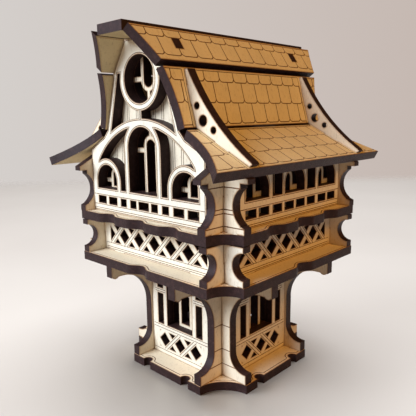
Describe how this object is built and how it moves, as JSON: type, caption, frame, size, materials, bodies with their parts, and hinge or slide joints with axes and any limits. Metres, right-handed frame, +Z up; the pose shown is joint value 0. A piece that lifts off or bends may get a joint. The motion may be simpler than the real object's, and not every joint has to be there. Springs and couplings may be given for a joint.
{
  "type": "tabletop terrain tower house",
  "caption": "Laser-cut timber-framed tower house for tabletop games: jettied floors, traceried windows, shingled gambrel roof, lift-off upper module.",
  "frame": {"origin": "middle of the underside of the base plate", "axes": "+Z up, -Y towards the front gable, +X towards the right eaves"},
  "size_m": [0.0808, 0.0878, 0.1146],
  "materials": {
    "wall_board": "bare fibreboard, brick lines engraved, edges charred by the laser",
    "tracery_board": "bare fibreboard, outline lines engraved, edges charred by the laser",
    "floor_board": "bare fibreboard, border lines engraved, edges charred by the laser",
    "roof_board": "bare fibreboard, shingles engraved, edges charred by the laser"
  },
  "bodies": {
    "lower_module": {"base_plate": "floor_board", "ground_wall_front": "wall_board", "ground_wall_right": "wall_board", "ground_wall_back": "wall_board", "ground_wall_left": "wall_board", "ground_window_front": "tracery_board", "ground_window_right": "tracery_board", "ground_window_back": "tracery_board", "ground_window_left": "tracery_board", "jetty_plate_lower": "floor_board", "band_wall_front": "tracery_board", "band_wall_right": "tracery_board", "band_wall_back": "tracery_board", "band_wall_left": "tracery_board"},
    "upper_module": {"locating_frame": "floor_board", "jetty_plate_upper": "floor_board", "gable_wall_front": "wall_board", "gable_wall_back": "wall_board", "side_wall_right": "wall_board", "side_wall_left": "wall_board", "gable_window_front": "tracery_board", "gable_window_back": "tracery_board", "side_window_right": "tracery_board", "side_window_left": "tracery_board", "skirt_roof_right": "roof_board", "skirt_roof_left": "roof_board", "main_roof_right": "roof_board", "main_roof_left": "roof_board", "top_roof_right": "roof_board", "top_roof_left": "roof_board", "ridge_board": "roof_board", "buttress_front_right": "wall_board", "buttress_front_left": "wall_board", "buttress_back_right": "wall_board", "buttress_back_left": "wall_board"}
  },
  "joints": [
    {"name": "upper_module_lift", "type": "slide", "parent": "lower_module", "child": "upper_module", "axis": [0, 0, 1], "range_m": [0, 0.06]}
  ]
}
